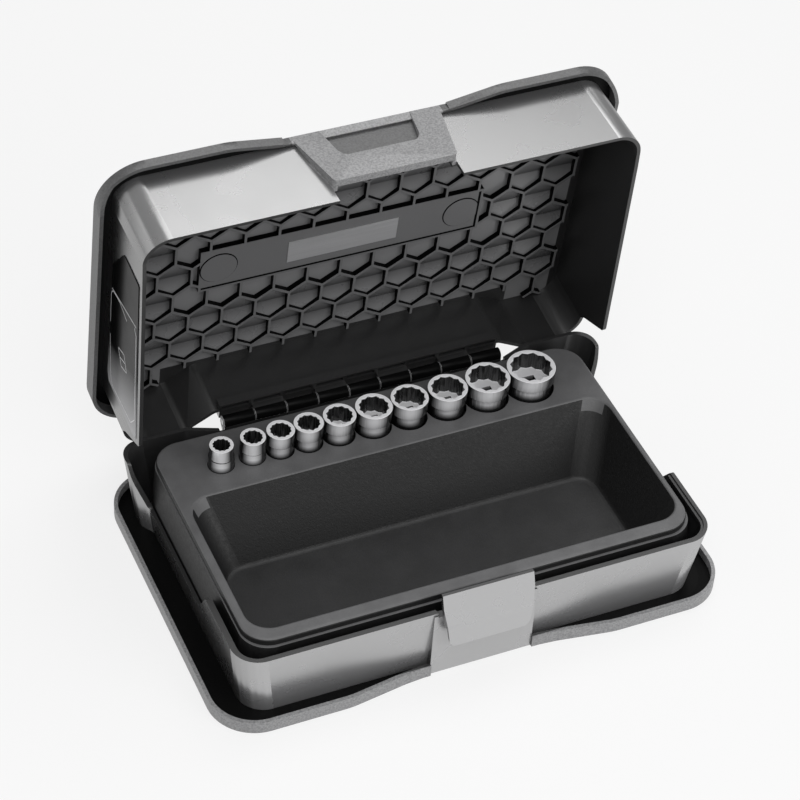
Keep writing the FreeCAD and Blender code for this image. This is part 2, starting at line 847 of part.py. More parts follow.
def make_socket(nut, place, ring, barrel):
    """Turned body with a ring at its mouth, a twelve-point broach and a square drive."""
    body = new_body(f"socket_{nut}mm")
    top = size("socket_top")
    bottom = top - size("socket_length")
    shoulder = top - size("ring_height")
    profile = new_sketch(body, f"Turned{nut}", "XZ_Plane", -size("socket_row"))
    draw_outline(profile, [
        (place, bottom, 0),
        (place + barrel, bottom, 0),
        (place + barrel, shoulder, 0),
        (place + ring, shoulder, 0),
        (place + ring, top, 0),
        (place, top, 0),
    ])
    turned = body.newObject("PartDesign::Revolution", f"Turning{nut}")
    turned.Profile = profile
    axis_line = Part.LineSegment(FreeCAD.Vector(place, 0, 0), FreeCAD.Vector(place, top.value, 0))
    axis = profile.addGeometry(axis_line, True)
    pin_point(profile, axis, 1, place, 0)
    pin_point(profile, axis, 2, place, top)
    turned.ReferenceAxis = (profile, ["Axis0"])
    turned.Angle = 360
    doc.recompute()
    broach = outline(body, f"Broach{nut}Outline", top, broach_outline(nut, place))
    feature(body, "Pocket", f"Broach{nut}", broach, size("broach_depth"))
    side = size("drive_square") / 2
    row = size("socket_row")
    square = rectangle(place - side, row - side, place + side, row + side)
    drive = outline(body, f"Drive{nut}Outline", bottom, square)
    drive_depth = size("socket_length") - size("broach_depth")
    feature(body, "Pocket", f"Drive{nut}", drive, drive_depth, reverse=True)
    return body


# ----------------------------------------------------------------------- lid
def lid_outline(front, inset):
    """Plan of the lid's wall, stepped in at the rear over the hinge."""
    shoulder = size("recess_shoulder") + inset * SLANT_SHARE
    hollow = size("recess_half") + inset * SLANT_SHARE
    half = size("lid_half") - inset
    corner = size("lid_corner") - inset
    right = [
        (half, -front + inset, corner),
        (half, size("lid_rear") - inset, corner),
        (shoulder, size("lid_rear") - inset, size("recess_round")),
        (hollow, size("lid_recess") - inset, size("recess_round")),
    ]
    return right + mirrored(right)


def add_lid_edge(body):
    """Plate with its raised edge, which is lower along the front."""
    top = size("lid_top")
    front = size("lid_edge_front")
    gap = size("lid_edge_gap")
    low = top - size("lid_edge_height")
    plan = edge_outline(front, gap, as_size(0))
    cover = outline(body, "LidPlateOutline", top - size("plate"), plan)
    feature(body, "Pad", "LidPlate", cover, size("plate"))
    ring = new_sketch(body, "LidEdgeRing", "XY_Plane", low)
    draw_outline(ring, plan)
    draw_outline(ring, edge_outline(front, gap, size("edge_thickness")))
    feature(body, "Pad", "LidEdge", ring, size("lid_edge_height") - size("plate") / 2)
    trim = new_sketch(body, "LidEdgeTrim", "YZ_Plane", 0)
    trim_up = top - size("lid_edge_low")
    trim_down = low - size("overlap")
    beyond = -front - size("margin")
    draw_outline(trim, [
        (beyond, trim_up, 0),
        (-size("lid_edge_slope_front"), trim_up, 0),
        (-size("lid_edge_slope"), trim_down, 0),
        (beyond, trim_down, 0),
    ])
    feature(body, "Pocket", "LidEdgeTrimCut", trim, size("edge_half_length") * SWEEP_PAST, both=True)


def add_lid_wall(body):
    bottom = size("lid_bottom")
    root_up = size("lid_top") - size("plate")
    steps = (("Additive", "LidWall", as_size(0)), ("Subtractive", "LidInside", size("wall")))
    for kind, name, inset in steps:
        rim = outline(body, f"{name}Rim", bottom, lid_outline(size("lid_front"), inset))
        root = outline(body, f"{name}Root", root_up, lid_outline(size("lid_root_front"), inset))
        loft(body, kind, name, [rim, root])


def add_lid_rim_cut(body):
    """Rim seen from the side: it falls to a tip at each side and leaves the ears free."""
    low = size("lid_bottom") - size("margin")
    beyond = -size("edge_front") - size("margin")
    front_rim = size("lid_rim_front")
    rear_rim = size("lid_rim_rear")
    corner = size("lid_rim_round")
    tip_corner = size("lid_notch_round")
    rim = new_sketch(body, "LidRimProfile", "YZ_Plane", 0)
    draw_outline(rim, [
        (beyond, front_rim, 0),
        (-size("lid_rim_front_end"), front_rim, corner),
        (-size("lid_rim_side_start"), size("lid_rim_side"), corner),
        (size("lid_tip_back"), size("lid_tip_up"), tip_corner),
        (size("lid_notch_back"), size("lid_notch_up"), tip_corner),
        (size("lid_rim_rear_start"), rear_rim, tip_corner),
        (size("edge_rear"), rear_rim, 0),
        (size("edge_rear"), low, 0),
        (beyond, low, 0),
    ])
    feature(body, "Pocket", "LidRimCut", rim, size("edge_half_length") * SWEEP_PAST, both=True)


def add_boss(body):
    """Leaning boss with a slot through it, whose strap the latch flap hooks behind."""
    top = size("lid_top")
    bottom = size("boss_bottom")
    front = size("boss_front")
    slot = size("slot_half")
    slot_foot = size("slot_foot_half")
    slot_bottom = size("slot_bottom")
    boss = new_sketch(body, "BossOutline", "XZ_Plane", size("boss_back"))
    draw_outline(boss, [
        (-size("boss_foot_half"), bottom, size("boss_corner")),
        (size("boss_foot_half"), bottom, size("boss_corner")),
        (size("boss_half"), top, 0),
        (slot, top, 0),
        (slot_foot, slot_bottom, size("slot_corner")),
        (-slot_foot, slot_bottom, size("slot_corner")),
        (-slot, top, 0),
        (-size("boss_half"), top, 0),
    ])
    feature(body, "Pad", "Boss", boss, front - size("boss_back"))
    beyond = -front - size("margin")
    over = top + size("overlap")
    lean = new_sketch(body, "BossLean", "YZ_Plane", 0)
    draw_outline(lean, [
        (-size("lid_edge_gap"), over, 0),
        (-front, bottom, 0),
        (beyond, bottom, 0),
        (beyond, over, 0),
    ])
    feature(body, "Pocket", "BossFace", lean, size("boss_half") * SWEEP_PAST, both=True)
    half = size("hollow_half")
    strap = -size("strap_back")
    inside = -size("tray_front")
    low = size("lid_bottom") - size("margin")
    hollow = outline(body, "LatchHollowOutline", low, rectangle(-half, strap, half, inside))
    feature(body, "Pocket", "LatchHollow", hollow, size("hollow_top") - low, reverse=True)
    foot = size("boss_foot_half") + size("overlap")
    gap = outline(body, "RimGapOutline", low, rectangle(-foot, beyond, foot, inside))
    feature(body, "Pocket", "RimGap", gap, bottom - low, reverse=True)


def add_hinge_beam(body):
    """Beam behind the tray with a row of open cells and four knuckles."""
    pitch = size("knuckle_pitch")
    radius = size("knuckle_radius")
    rib = size("cell_rib")
    half = pitch * 4.5
    lip = size("beam_lip")
    bottom = size("beam_bottom")
    front = size("hinge_back") - radius
    back = size("hinge_back") + radius
    beam = outline(body, "BeamOutline", bottom, rectangle(-half, lip, half, size("beam_back")))
    feature(body, "Pad", "Beam", beam, size("beam_height"))
    cell_shape = rectangle(-half + rib, lip + rib, -half + pitch - rib, size("cell_back"))
    cell = outline(body, "CellOutline", bottom, cell_shape)
    cut = feature(body, "Pocket", "Cell", cell, size("cell_depth"), reverse=True)
    repeat(body, "CellRow", cut, pitch, 9)
    web = new_sketch(body, "LidKnuckleProfile", "YZ_Plane", pitch * -3.5 + size("knuckle_gap") / 2)
    draw_outline(web, [
        (front, size("hinge_up") - radius, radius - SHORT_STRAIGHT),
        (back, size("hinge_up") - radius, radius - SHORT_STRAIGHT),
        (back, size("hinge_up") + radius, 0),
        (size("beam_back"), bottom + size("overlap"), 0),
        (front, bottom + size("overlap"), 0),
    ])
    knuckle = feature(body, "Pad", "LidKnuckle", web, pitch - size("knuckle_gap"))
    repeat(body, "LidKnuckleRow", knuckle, pitch * 2, 4)
    add_pin_bore(body, "LidPinHole")


def make_lid():
    body = new_body("lid_shell")
    add_lid_edge(body)
    add_lid_wall(body)
    add_lid_rim_cut(body)
    add_boss(body)
    add_hinge_beam(body)
    return body


# ------------------------------------------------------- pattern and labels
def stretched_hexagon(x, y, wide, bottom, height):
    """Six-sided prism with level sides left and right, longer along Y than across."""
    stretch = SIZES["comb_row"] / (SIZES["comb_pitch"] * math.sqrt(3) / 2)
    reach = wide / math.sqrt(3)
    corners = []
    for step in range(6):
        angle = math.pi / 6 * (2 * step + 1)
        offset = FreeCAD.Vector(reach * math.cos(angle), reach * stretch * math.sin(angle), 0)
        corners.append(FreeCAD.Vector(x, y, bottom) + offset)
    ring = Part.makePolygon(corners + corners[:1])
    return Part.Face(ring).extrude(FreeCAD.Vector(0, 0, height))


def is_upright(edge):
    return abs(edge.tangentAt(edge.FirstParameter).z) > 1 - NEAR


def make_comb():
    """Honeycomb ribs under the lid's plate, with a plain bar that carries two discs."""
    height = SIZES["comb_height"]
    bottom = SIZES["lid_top"] - SIZES["plate"] - height
    pitch = SIZES["comb_pitch"]
    row = SIZES["comb_row"]
    left = SIZES["comb_left"]
    front = SIZES["comb_front"]
    corner = FreeCAD.Vector(-left, -front, bottom)
    field = Part.makeBox(left + SIZES["comb_right"], front + SIZES["comb_rear"], height, corner)
    field = field.makeFillet(SIZES["comb_corner"], [edge for edge in field.Edges if is_upright(edge)])
    past = SIZES["overlap"]
    cells = []
    for across in range(-COMB_ROWS, COMB_ROWS + 1):
        for along in range(-COMB_COLUMNS, COMB_COLUMNS + 1):
            x = SIZES["comb_shift"] + pitch * (along - 0.5 * ((across + 1) % 2))
            y = SIZES["comb_middle"] + row * across
            wide = pitch - SIZES["comb_rib"]
            cells.append(stretched_hexagon(x, y, wide, bottom - past, height + 2 * past))
    ribs = field.cut(Part.makeCompound(cells))
    start = FreeCAD.Vector(-SIZES["bar_left"], -SIZES["bar_front"], bottom)
    length = SIZES["bar_left"] + SIZES["bar_right"]
    bar = Part.makeBox(length, SIZES["bar_front"] + SIZES["bar_rear"], height, start)
    raised = [bar]
    for x in (SIZES["disc_left"], SIZES["disc_right"]):
        centre = FreeCAD.Vector(x, SIZES["disc_back"], bottom - SIZES["disc_height"])
        raised.append(Part.makeCylinder(SIZES["disc_radius"], height, centre))
    ribs = ribs.multiFuse(raised).removeSplitter()
    solids = [solid for solid in ribs.Solids if solid.Volume > COMB_SCRAP]
    comb = doc.addObject("Part::Feature", "lid_honeycomb")
    comb.Label = "lid_honeycomb"
    comb.Shape = solids[0] if len(solids) == 1 else Part.makeCompound(solids)
    return comb


def make_nameplate():
    plate = doc.addObject("Part::Box", "blank_nameplate")
    plate.Label = "blank_nameplate"
    plate.setExpression("Length", "Sheet.nameplate_length")
    plate.setExpression("Width", "Sheet.nameplate_width")
    plate.setExpression("Height", "Sheet.label_thick")
    return plate


def make_side_label():
    """Thin film on the lid's left side wall, with cut corners."""
    body = new_body("side_label")
    front = -size("label_front")
    rear = size("label_rear")
    top = size("label_top")
    film = new_sketch(body, "LabelOutline", "YZ_Plane", -size("lid_half") - size("label_thick"))
    corner = size("label_round")
    cut_corner = size("label_cut_round")
    draw_outline(film, [
        (front, size("label_front_low"), corner),
        (rear, size("label_rear_low"), corner),
        (rear, size("label_cut_rear_up"), corner),
        (size("label_cut_rear"), top, corner),
        (-size("label_cut_front"), top, cut_corner),
        (front, size("label_cut_up"), cut_corner),
    ])
    feature(body, "Pad", "LabelFilm", film, size("label_thick"))
    return body


def open_lid(item, inner):
    """Turns a lid piece, drawn closed, about the hinge pin to its open rest."""
    turn = FreeCAD.Rotation(FreeCAD.Vector(1, 0, 0), -SIZES["open_angle"])
    centre = FreeCAD.Vector(0, SIZES["hinge_back"], SIZES["hinge_up"])
    opening = FreeCAD.Placement(FreeCAD.Vector(), turn, centre)
    item.Placement = opening.multiply(FreeCAD.Placement(inner, FreeCAD.Rotation()))


parts = [make_base(), make_flap(), make_pin(), make_tray()]
for entry in SOCKETS:
    parts.append(make_socket(*entry))
lid_parts = [make_lid(), make_comb(), make_side_label()]
nameplate = make_nameplate()
doc.recompute()
for item in lid_parts:
    open_lid(item, FreeCAD.Vector())
plate_up = SIZES["lid_top"] - SIZES["plate"] - SIZES["comb_height"] - SIZES["label_thick"]
open_lid(nameplate, FreeCAD.Vector(-SIZES["nameplate_left"], -SIZES["nameplate_front"], plate_up))
parts.extend(lid_parts + [nameplate])
doc.recompute()

for item in doc.Objects:
    if "Invalid" in item.State or "Error" in item.State:
        raise RuntimeError(f"{item.Name}: {item.State}")
os.makedirs("parts", exist_ok=True)
for item in parts:
    shape = item.Shape
    if shape.isNull() or not shape.isValid():
        raise RuntimeError(f"{item.Label}: bad shape")
    print(item.Label, len(shape.Solids), round(shape.Volume / 1000, 1), "cm3")
    shape.exportStep(f"parts/{item.Label}.step")
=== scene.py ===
import math

import bpy
from mathutils import Matrix, Vector


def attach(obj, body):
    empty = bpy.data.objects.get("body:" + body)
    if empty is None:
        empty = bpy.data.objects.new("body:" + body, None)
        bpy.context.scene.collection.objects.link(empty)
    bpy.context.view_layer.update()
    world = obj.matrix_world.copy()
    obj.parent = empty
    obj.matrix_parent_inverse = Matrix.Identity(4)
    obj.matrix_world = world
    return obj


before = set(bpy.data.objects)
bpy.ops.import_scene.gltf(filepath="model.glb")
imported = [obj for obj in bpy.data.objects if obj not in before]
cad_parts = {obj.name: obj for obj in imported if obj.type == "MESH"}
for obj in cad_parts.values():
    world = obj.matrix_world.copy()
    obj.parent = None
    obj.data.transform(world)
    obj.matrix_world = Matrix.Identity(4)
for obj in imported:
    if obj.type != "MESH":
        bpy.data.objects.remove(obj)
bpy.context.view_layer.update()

MM = 0.001

# A socket-set case that stands open: materials for the CAD nodes, four small added pieces, floor,
# lamps and camera. The lid's values and materials are given for the lid as it lies when shut.

# ------------------------------------------------------------------ driving values
HINGE = Vector((0.0, 0.0913, 0.0594))
OPEN_ANGLE = math.radians(81.75)

# Camera of the photograph, in the row frame; its lens and sensor are in mm.
CAMERA_PLACE = Vector((-0.5546, -1.0862, 1.2568))
CAMERA_RIGHT = Vector((0.9170, -0.3950, 0.0561))
CAMERA_UP = Vector((0.2317, 0.6416, 0.7312))
CAMERA_BACK = Vector((-0.3249, -0.6574, 0.6799))
CAMERA_LENS = 123.54
CAMERA_SENSOR = 36.0
CAMERA_REACH = 50.0

# Levels of the raised edges and of the plates they stand on, in metres, lid shut.
BASE_EDGE_TOP = 0.0095
BASE_PLATE = 0.0030
LID_PLATE = 0.1065
LID_EDGE_LOW = 0.0975

# Rounded rectangles in plan: half length, half depth and corner radius, in metres.
BASE_EDGE_INSIDE = (0.1600, 0.1030, 0.0240)
BASE_WALL_FOOT = (0.1510, 0.0960, 0.0175)
LID_EDGE_INSIDE = (0.1630, 0.1015, 0.0220)
LID_WALL_ROOT = (0.1600, 0.0989, 0.0175)

# Boss on the lid's front wall, wider towards the top, and its slot, in metres, lid shut.
BOSS_LOW = 0.0600
BOSS_HIGH = 0.1030
BOSS_HALF_LOW = 0.0395
BOSS_HALF_HIGH = 0.0490
BOSS_FRONT = -0.1010
SLOT_HALF = 0.0300
SLOT_LOW = 0.0810
SLOT_BACK = -0.0975

# Knuckles of the hinge: half their whole length, one's length, the painted highlight line between
# two, the reach of a knuckle about the pin, and half the length that gets painted shade, in metres.
HINGE_HALF = 0.09675
KNUCKLE_PITCH = 0.0215
KNUCKLE_HIGHLIGHT_LINE = 0.0009
KNUCKLE_REACH = 0.0042
HINGE_ZONE = 0.098

# Dark strip below the knuckles, standing in for shade so that no floor shows through: two opposite
# corners, in mm.
SHADE_STRIP_LOW = (-96.7, 88.9, 53.2)
SHADE_STRIP_HIGH = (96.7, 90.0, 55.1)

# Lowest level of the tray's upward faces outside the bin, in metres.
DECK_LOW = 0.050

# Honeycomb of the lid, in mm, lid shut: the pitch of the cells and of the rows, the place of the
# middle row, its shift, the ribs' width, the levels of their faces and of the plate that they
# stand on, and how much of their flanks is as pale as their faces.
COMB_PITCH = 22.5
COMB_ROW = 21.9
COMB_MIDDLE = -3.0
COMB_SHIFT = 5.6
COMB_RIB = 1.6
COMB_FACE = 102.5
COMB_FLOOR = 106.5
RIB_TOP = 0.35

# Cells on each side of a row's middle one, the rows that have floors, and those with ribs in the
# rear corners, counted from the middle row.
CELLS_EACH_WAY = 8
CELL_ROWS = range(-4, 5)
CORNER_ROWS = (3, 4)

# Left, right, front and rear limits of the honeycomb and of the bar, in mm.
COMB_LIMITS = (-157.0, 153.0, -96.0, 84.0)
BAR_LIMITS = (-102.0, 88.0, -23.5, 12.7)

# Painted shadow line inside the bar's rim, and the painted dark ring at the foot of its round
# bosses, in mm.
BAR_LINE = 1.7
DISC_LINE_IN = 11.9
DISC_LINE_OUT = 12.55
DISC_CENTRES = ((-89.6, -6.5), (73.8, -6.5))

# Cell floors, in mm: how deep the crease is, where a floor has corners as shares of its
# reach, and how far it stays off the ribs and off the plate.
CREASE_DEPTH = 1.6
CELL_SHARES = (-0.99, -0.5, 0.0, 0.5, 0.99)
CELL_GAP = 0.05
CELL_LIFT = 0.02

# The lid's two rear corners: where the paler panel starts and ends, in metres, and the boxes
# that hold ribs, as left, right, front and rear limits in mm.
POCKET_START = 0.122
POCKET_REAR = 0.0980
CORNER_POCKETS = ((-157.0, -124.0, 83.0, 97.0), (127.0, 153.0, 83.0, 96.0))
SHORTEST_RIB = 3.5

# Faces of a box whose eight corners run round its lower side and then round its upper one.
BOX_FACES = ((0, 1, 2, 3), (7, 6, 5, 4), (0, 4, 5, 1), (1, 5, 6, 2), (2, 6, 7, 3), (3, 7, 4, 0))

# Film on the lid's left wall, in mm, lid shut: its face, the lift and the width of its lines.
LABEL_FACE = -161.2
LABEL_LIFT = 0.04
LABEL_LINE = 0.7

# Sockets, in mm: their row and their top.
SOCKET_ROW = 57.7
SOCKET_TOP = 74.3

# Broach of a socket, in mm: its depth, the lip above it that stays out of the painted shade, how
# far below its floor the floor's painted highlight goes, the reach of its corners as a share of the
# nut size, what is added to that, and the depth of the rim's painted highlight.
BROACH_DEPTH = 13.0
BROACH_LIP = 0.7
BROACH_FLOOR = 1.5
BROACH_REACH = 0.577
BROACH_MARGIN = 0.5
RIM_DEPTH = 0.3

# Painted highlight band on a barrel: the way it faces in plan, how much of the normal has to face
# that way where it starts and where it is full, and the same for its level, in metres.
PAINTED_SHEEN_ACROSS = -0.443
PAINTED_SHEEN_ALONG = -0.896
PAINTED_SHEEN_FACING = (0.66, 1.0)
PAINTED_SHEEN_LEVELS = (0.0572, 0.0615)

# Nut size and centre along the case, in mm.
SOCKETS = [
    (10, -110.0),
    (11, -89.1),
    (12, -70.6),
    (13, -51.7),
    (15, -30.8),
    (17, -7.3),
    (18, 17.3),
    (19, 43.9),
    (22, 72.0),
    (24, 102.9),
]

# Greys, from 0 to 1. BLUE_TINT multiplies the blue part. Of two greys, a mask or noise gives the
# first where it is 0 and the second where it is 1: front walls, for instance, are painted paler as
# lit.
BLUE_TINT = 1.02
CASE_AND_LIT_FRONT_GREYS = (0.022, 0.22)
LATCH_AND_LIT_FRONT_GREYS = (0.034, 0.26)
LID_AND_LIT_FRONT_GREYS = (0.016, 0.10)
DARK_EDGE_GREYS = (0.035, 0.075)
# The pale edge greys are a lit copy of the dark ones: painted light.
PAINTED_LIT_EDGE_GREYS = (0.17, 0.30)
# Near black: painted shade in grooves and on the knuckles.
PAINTED_SHADE_GREY = 0.003
PANEL_GREY = 0.20
# One matt plastic: painted light on the deck, painted shade in the bin.
DECK_PAINTED_LIGHT_GREYS = (0.11, 0.14)
BIN_FLOOR_PAINTED_SHADE_GREYS = (0.028, 0.038)
BIN_WALL_PAINTED_SHADE_GREY = 0.008
# Rib faces, and the near-black painted shade on flanks and lines.
COMB_AND_SHADE_GREYS = (0.15, 0.002)
# Painted shading of the cell floors, from each end to the crease.
CELL_PAINTED_SHADING_AHEAD = (0.20, 0.04)
CELL_PAINTED_SHADING_BEHIND = (0.10, 0.21)
# Barrel greys outside the band: painted dark reflection.
CHROME_DARK_REFLECTION_GREYS = (0.035, 0.06)
PAINTED_HIGHLIGHT_GREY = 1.0
# White rim and broach floor: painted highlights.
RIM_PAINTED_HIGHLIGHT_GREY = 0.95
# Painted shade inside the broach, streaked by broaching.
BROACH_PAINTED_SHADE_GREYS = (0.008, 0.06)
PIN_GREYS = (0.4, 0.55)
NAMEPLATE_GREYS = (0.5, 0.7)
LABEL_GREYS = (0.004, 0.48)
INK_GREYS = (0.60, 0.75)

# Index of refraction of the mouldings. It is above a real plastic's, so that the walls mirror the
# pale floor as in the photograph.
CASE_IOR = 2.4

# Forward part of the normal at which the painted light on a front wall starts, and is at its
# palest.
PAINTED_FRONT_LIGHT_FACING = (0.2, 0.9)

# Upward part of the normal from which a face is level, part of the deck or the bin's floor, and
# the outward part, times the distance from the middle in metres, from which a wall is an outer one.
LEVEL_FACE = 0.5
DECK_FACE = 0.6
BIN_FLOOR_FACE = 0.8
OUTWARD_LIMIT = 0.02

# Streaks of noise for each metre, along X, Y and Z.
BROACH_STREAKS = (1400, 1400, 60)
NAMEPLATE_STREAKS = (20, 900, 900)

# Fade of the side label: from and to, in metres of y less this share of z.
LABEL_FADE = (-0.004, 0.046)
LABEL_SLANT = 0.35

# CAD edges sharper than this angle are rounded, and vertices nearer than this, in metres, are one.
EDGE_ANGLE = math.radians(38)
WELD_REACH = 0.00001

# Floor and world: half the floor's length and its drop, in metres, its grey, how much of it
# glows white for the camera and in reflections, and the world's light.
FLOOR_HALF = 6.0
FLOOR_DROP = 0.0002
FLOOR_GREY = 0.82
FLOOR_GLOW = 0.75
WORLD_LIGHT = 0.35

# Lamps: name, place, aim, width and height in metres, and power in watts.
LAMPS = [
    ("overhead", (0.50, 0.62, 1.60), (0, 0.1, 0.2), 1.2, 1.0, 9),
    ("key", (-0.35, -0.9, 1.7), (0, 0, 0.05), 1.0, 0.8, 12),
    ("front_right", (1.0, -1.5, 0.9), (0, 0, 0.1), 1.2, 1.0, 11),
    ("left_fill", (-1.5, 0.2, 0.8), (0, 0, 0.1), 0.9, 0.9, 2),
]


# ------------------------------------------------------------------ node helpers
class Tree:
    """Short names for the shader nodes that the materials here are made of."""

    def __init__(self, name):
        self.material = bpy.data.materials.new(name)
        self.material.use_nodes = True
        self.nodes = self.material.node_tree.nodes
        self.links = self.material.node_tree.links
        self.shader = self.nodes["Principled BSDF"]

    def node(self, kind, **settings):
        item = self.nodes.new(kind)
        for key, value in settings.items():
            setattr(item, key, value)
        return item

    def feed(self, socket, value):
        if isinstance(value, bpy.types.NodeSocket):
            self.links.new(value, socket)
        else:
            socket.default_value = value

    def math(self, operation, first, second=0.0):
        item = self.node("ShaderNodeMath", operation=operation)
        self.feed(item.inputs[0], first)
        self.feed(item.inputs[1], second)
        return item.outputs[0]

    def every(self, *tests):
        """1 where all the tests are 1."""
        total = tests[0]
        for test in tests[1:]:
            total = self.math("MULTIPLY", total, test)
        return total

    def some(self, *tests):
        """1 where any of the tests is 1."""
        total = tests[0]
        for test in tests[1:]:
            total = self.math("MAXIMUM", total, test)
        return total

    def over(self, value, limit):
        return self.math("GREATER_THAN", value, limit)

    def under(self, value, limit):
        return self.math("LESS_THAN", value, limit)

    def size_of(self, value):
        return self.math("ABSOLUTE", value)

    def place(self):
        """Object coordinates, in metres, in the row frame at rest."""
        return self.node("ShaderNodeTexCoord").outputs["Object"]

    def closed(self):
        """Coordinates of the lid as it lies when shut."""
        turn = Matrix.Rotation(OPEN_ANGLE, 3, "X")
        mapping = self.node("ShaderNodeMapping", vector_type="POINT")
        mapping.inputs["Rotation"].default_value = (OPEN_ANGLE, 0, 0)
        mapping.inputs["Location"].default_value = HINGE - turn @ HINGE
        self.links.new(self.place(), mapping.inputs["Vector"])
        return mapping.outputs[0]

    def normal(self, lid=False):
        """The normal, in the frame at rest or with the lid shut."""
        normal = self.node("ShaderNodeTexCoord").outputs["Normal"]
        if not lid:
            return normal
        mapping = self.node("ShaderNodeMapping", vector_type="NORMAL")
        mapping.inputs["Rotation"].default_value = (OPEN_ANGLE, 0, 0)
        self.links.new(normal, mapping.inputs["Vector"])
        return mapping.outputs[0]

    def facing(self, lid=False):
        """Upward part of the normal."""
        return self.split(self.normal(lid))[2]

    def outward(self, across, along, lid=False):
        """Part of the normal that points away from the middle, as a length."""
        nx, ny = self.split(self.normal(lid))[:2]
        return self.math("ADD", self.math("MULTIPLY", nx, across), self.math("MULTIPLY", ny, along))

    def length(self, first, second):
        """Length of a line with these two parts."""
        squares = [self.math("POWER", part, 2.0) for part in (first, second)]
        return self.math("SQRT", self.math("ADD", *squares))

    def split(self, vector):
        item = self.node("ShaderNodeSeparateXYZ")
        self.links.new(vector, item.inputs[0])
        return item.outputs

    def noise(self, vector, scale, detail=2.0, roughness=0.5):
        item = self.node("ShaderNodeTexNoise")
        self.links.new(vector, item.inputs["Vector"])
        item.inputs["Scale"].default_value = scale
        item.inputs["Detail"].default_value = detail
        item.inputs["Roughness"].default_value = roughness
        return item.outputs["Fac"]

    def span(self, value, low, high, out_low=0.0, out_high=1.0):
        item = self.node("ShaderNodeMapRange", clamp=True)
        self.feed(item.inputs["Value"], value)
        limits = (("From Min", low), ("From Max", high), ("To Min", out_low), ("To Max", out_high))
        for key, number in limits:
            self.feed(item.inputs[key], number)
        return item.outputs[0]

    def mottle(self, vector, scale, detail, low=0.0, high=1.0, spread=0.2):
        """Noise whose middle part is stretched to run from low to high."""
        return self.span(self.noise(vector, scale, detail), 0.5 - spread, 0.5 + spread, low, high)

    def mix(self, factor, first, second):
        item = self.node("ShaderNodeMix", data_type="RGBA")
        self.feed(item.inputs[0], factor)
        self.feed(item.inputs[6], first)
        self.feed(item.inputs[7], second)
        return item.outputs[2]

    def blend(self, factor, first, second):
        item = self.node("ShaderNodeMix", data_type="FLOAT")
        self.feed(item.inputs[0], factor)
        self.feed(item.inputs[2], first)
        self.feed(item.inputs[3], second)
        return item.outputs[0]

    def greys(self, factor, first, second):
        """A grey between two others."""
        return self.mix(factor, grey(first), grey(second))

    def scaled(self, vector, scale):
        """Coordinates multiplied by a factor for each axis, for streaks."""
        item = self.node("ShaderNodeMapping", vector_type="POINT")
        item.inputs["Scale"].default_value = scale
        self.links.new(vector, item.inputs["Vector"])
        return item.outputs[0]

    def bump(self, height, distance, strength=1.0):
        item = self.node("ShaderNodeBump")
        self.feed(item.inputs["Height"], height)
        item.inputs["Distance"].default_value = distance
        self.feed(item.inputs["Strength"], strength)
        self.links.new(item.outputs[0], self.shader.inputs["Normal"])

    def set(self, name, value):
        self.feed(self.shader.inputs[name], value)


def grey(value):
    """A grey that is slightly blue."""
    return (value, value, value * BLUE_TINT, 1.0)


def grain(tree, vector):
    """Spark-eroded grain: small rounded bumps."""
    fine = tree.noise(vector, 900.0, 2.0, 0.6)
    coarse = tree.noise(vector, 380.0, 2.0, 0.5)
    return tree.math("ADD", tree.math("MULTIPLY", fine, 0.6), tree.math("MULTIPLY", coarse, 0.4))


# ------------------------------------------------------------------ materials
def moulding(name, wall_and_lit_front_greys, masks, lid=False):
    """Glossy dark moulding whose front walls have a paler grey that is painted light.

    Its masks are the grained edges, their parts painted pale as if lit, painted shade on a groove
    and the knuckles, and a lighter inner panel.
    """
    tree = Tree(name)
    vector = tree.closed() if lid else tree.place()
    edge, light, painted_shade, panel = masks(tree, vector)
    smooth_rough = tree.mottle(vector, 35.0, 4.0, 0.26, 0.30)
    speck = tree.mottle(vector, 800.0, 2.0, spread=0.15)
    dark_edge = tree.greys(speck, *DARK_EDGE_GREYS)
    painted_lit_edge = tree.greys(speck, *PAINTED_LIT_EDGE_GREYS)
    # Edges take the painted lit grey where the mask of their lit parts is 1.
    edge_colour = tree.mix(light, dark_edge, painted_lit_edge)
    x, y = tree.split(vector)[:2]
    outside = tree.over(tree.outward(x, y, lid), OUTWARD_LIMIT)
    ahead = tree.math("MULTIPLY", tree.split(tree.normal(lid))[1], -1.0)
    # Outer walls that face forward get the paler grey: painted light.
    front = tree.every(outside, tree.span(ahead, *PAINTED_FRONT_LIGHT_FACING))
    face_and_painted_front_light = tree.greys(front, *wall_and_lit_front_greys)
    shell_colour = tree.mix(edge, tree.mix(panel, face_and_painted_front_light, grey(PANEL_GREY)), edge_colour)
    # Grooves and knuckles get the near-black painted shade.
    tree.set("Base Color", tree.mix(painted_shade, shell_colour, grey(PAINTED_SHADE_GREY)))
    wall_rough = tree.blend(outside, 0.42, smooth_rough)
    tree.set("Roughness", tree.blend(edge, tree.blend(panel, wall_rough, 0.3), 0.5))
    tree.set("IOR", CASE_IOR)
    shine = tree.blend(edge, tree.blend(outside, 0.20, 0.95), 0.35)
    tree.set("Specular IOR Level", tree.blend(painted_shade, shine, 0.02))
    tree.bump(grain(tree, vector), 0.00025, tree.blend(edge, 0.0, 1.0))
    return tree.material


def beyond(tree, x, y, outline):
    """1 outside a rounded rectangle about the middle."""
    half, depth, corner = outline
    across = tree.math("MAXIMUM", tree.math("SUBTRACT", tree.size_of(x), half - corner), 0.0)
    along = tree.math("MAXIMUM", tree.math("SUBTRACT", tree.size_of(y), depth - corner), 0.0)
    return tree.over(tree.length(across, along), corner)


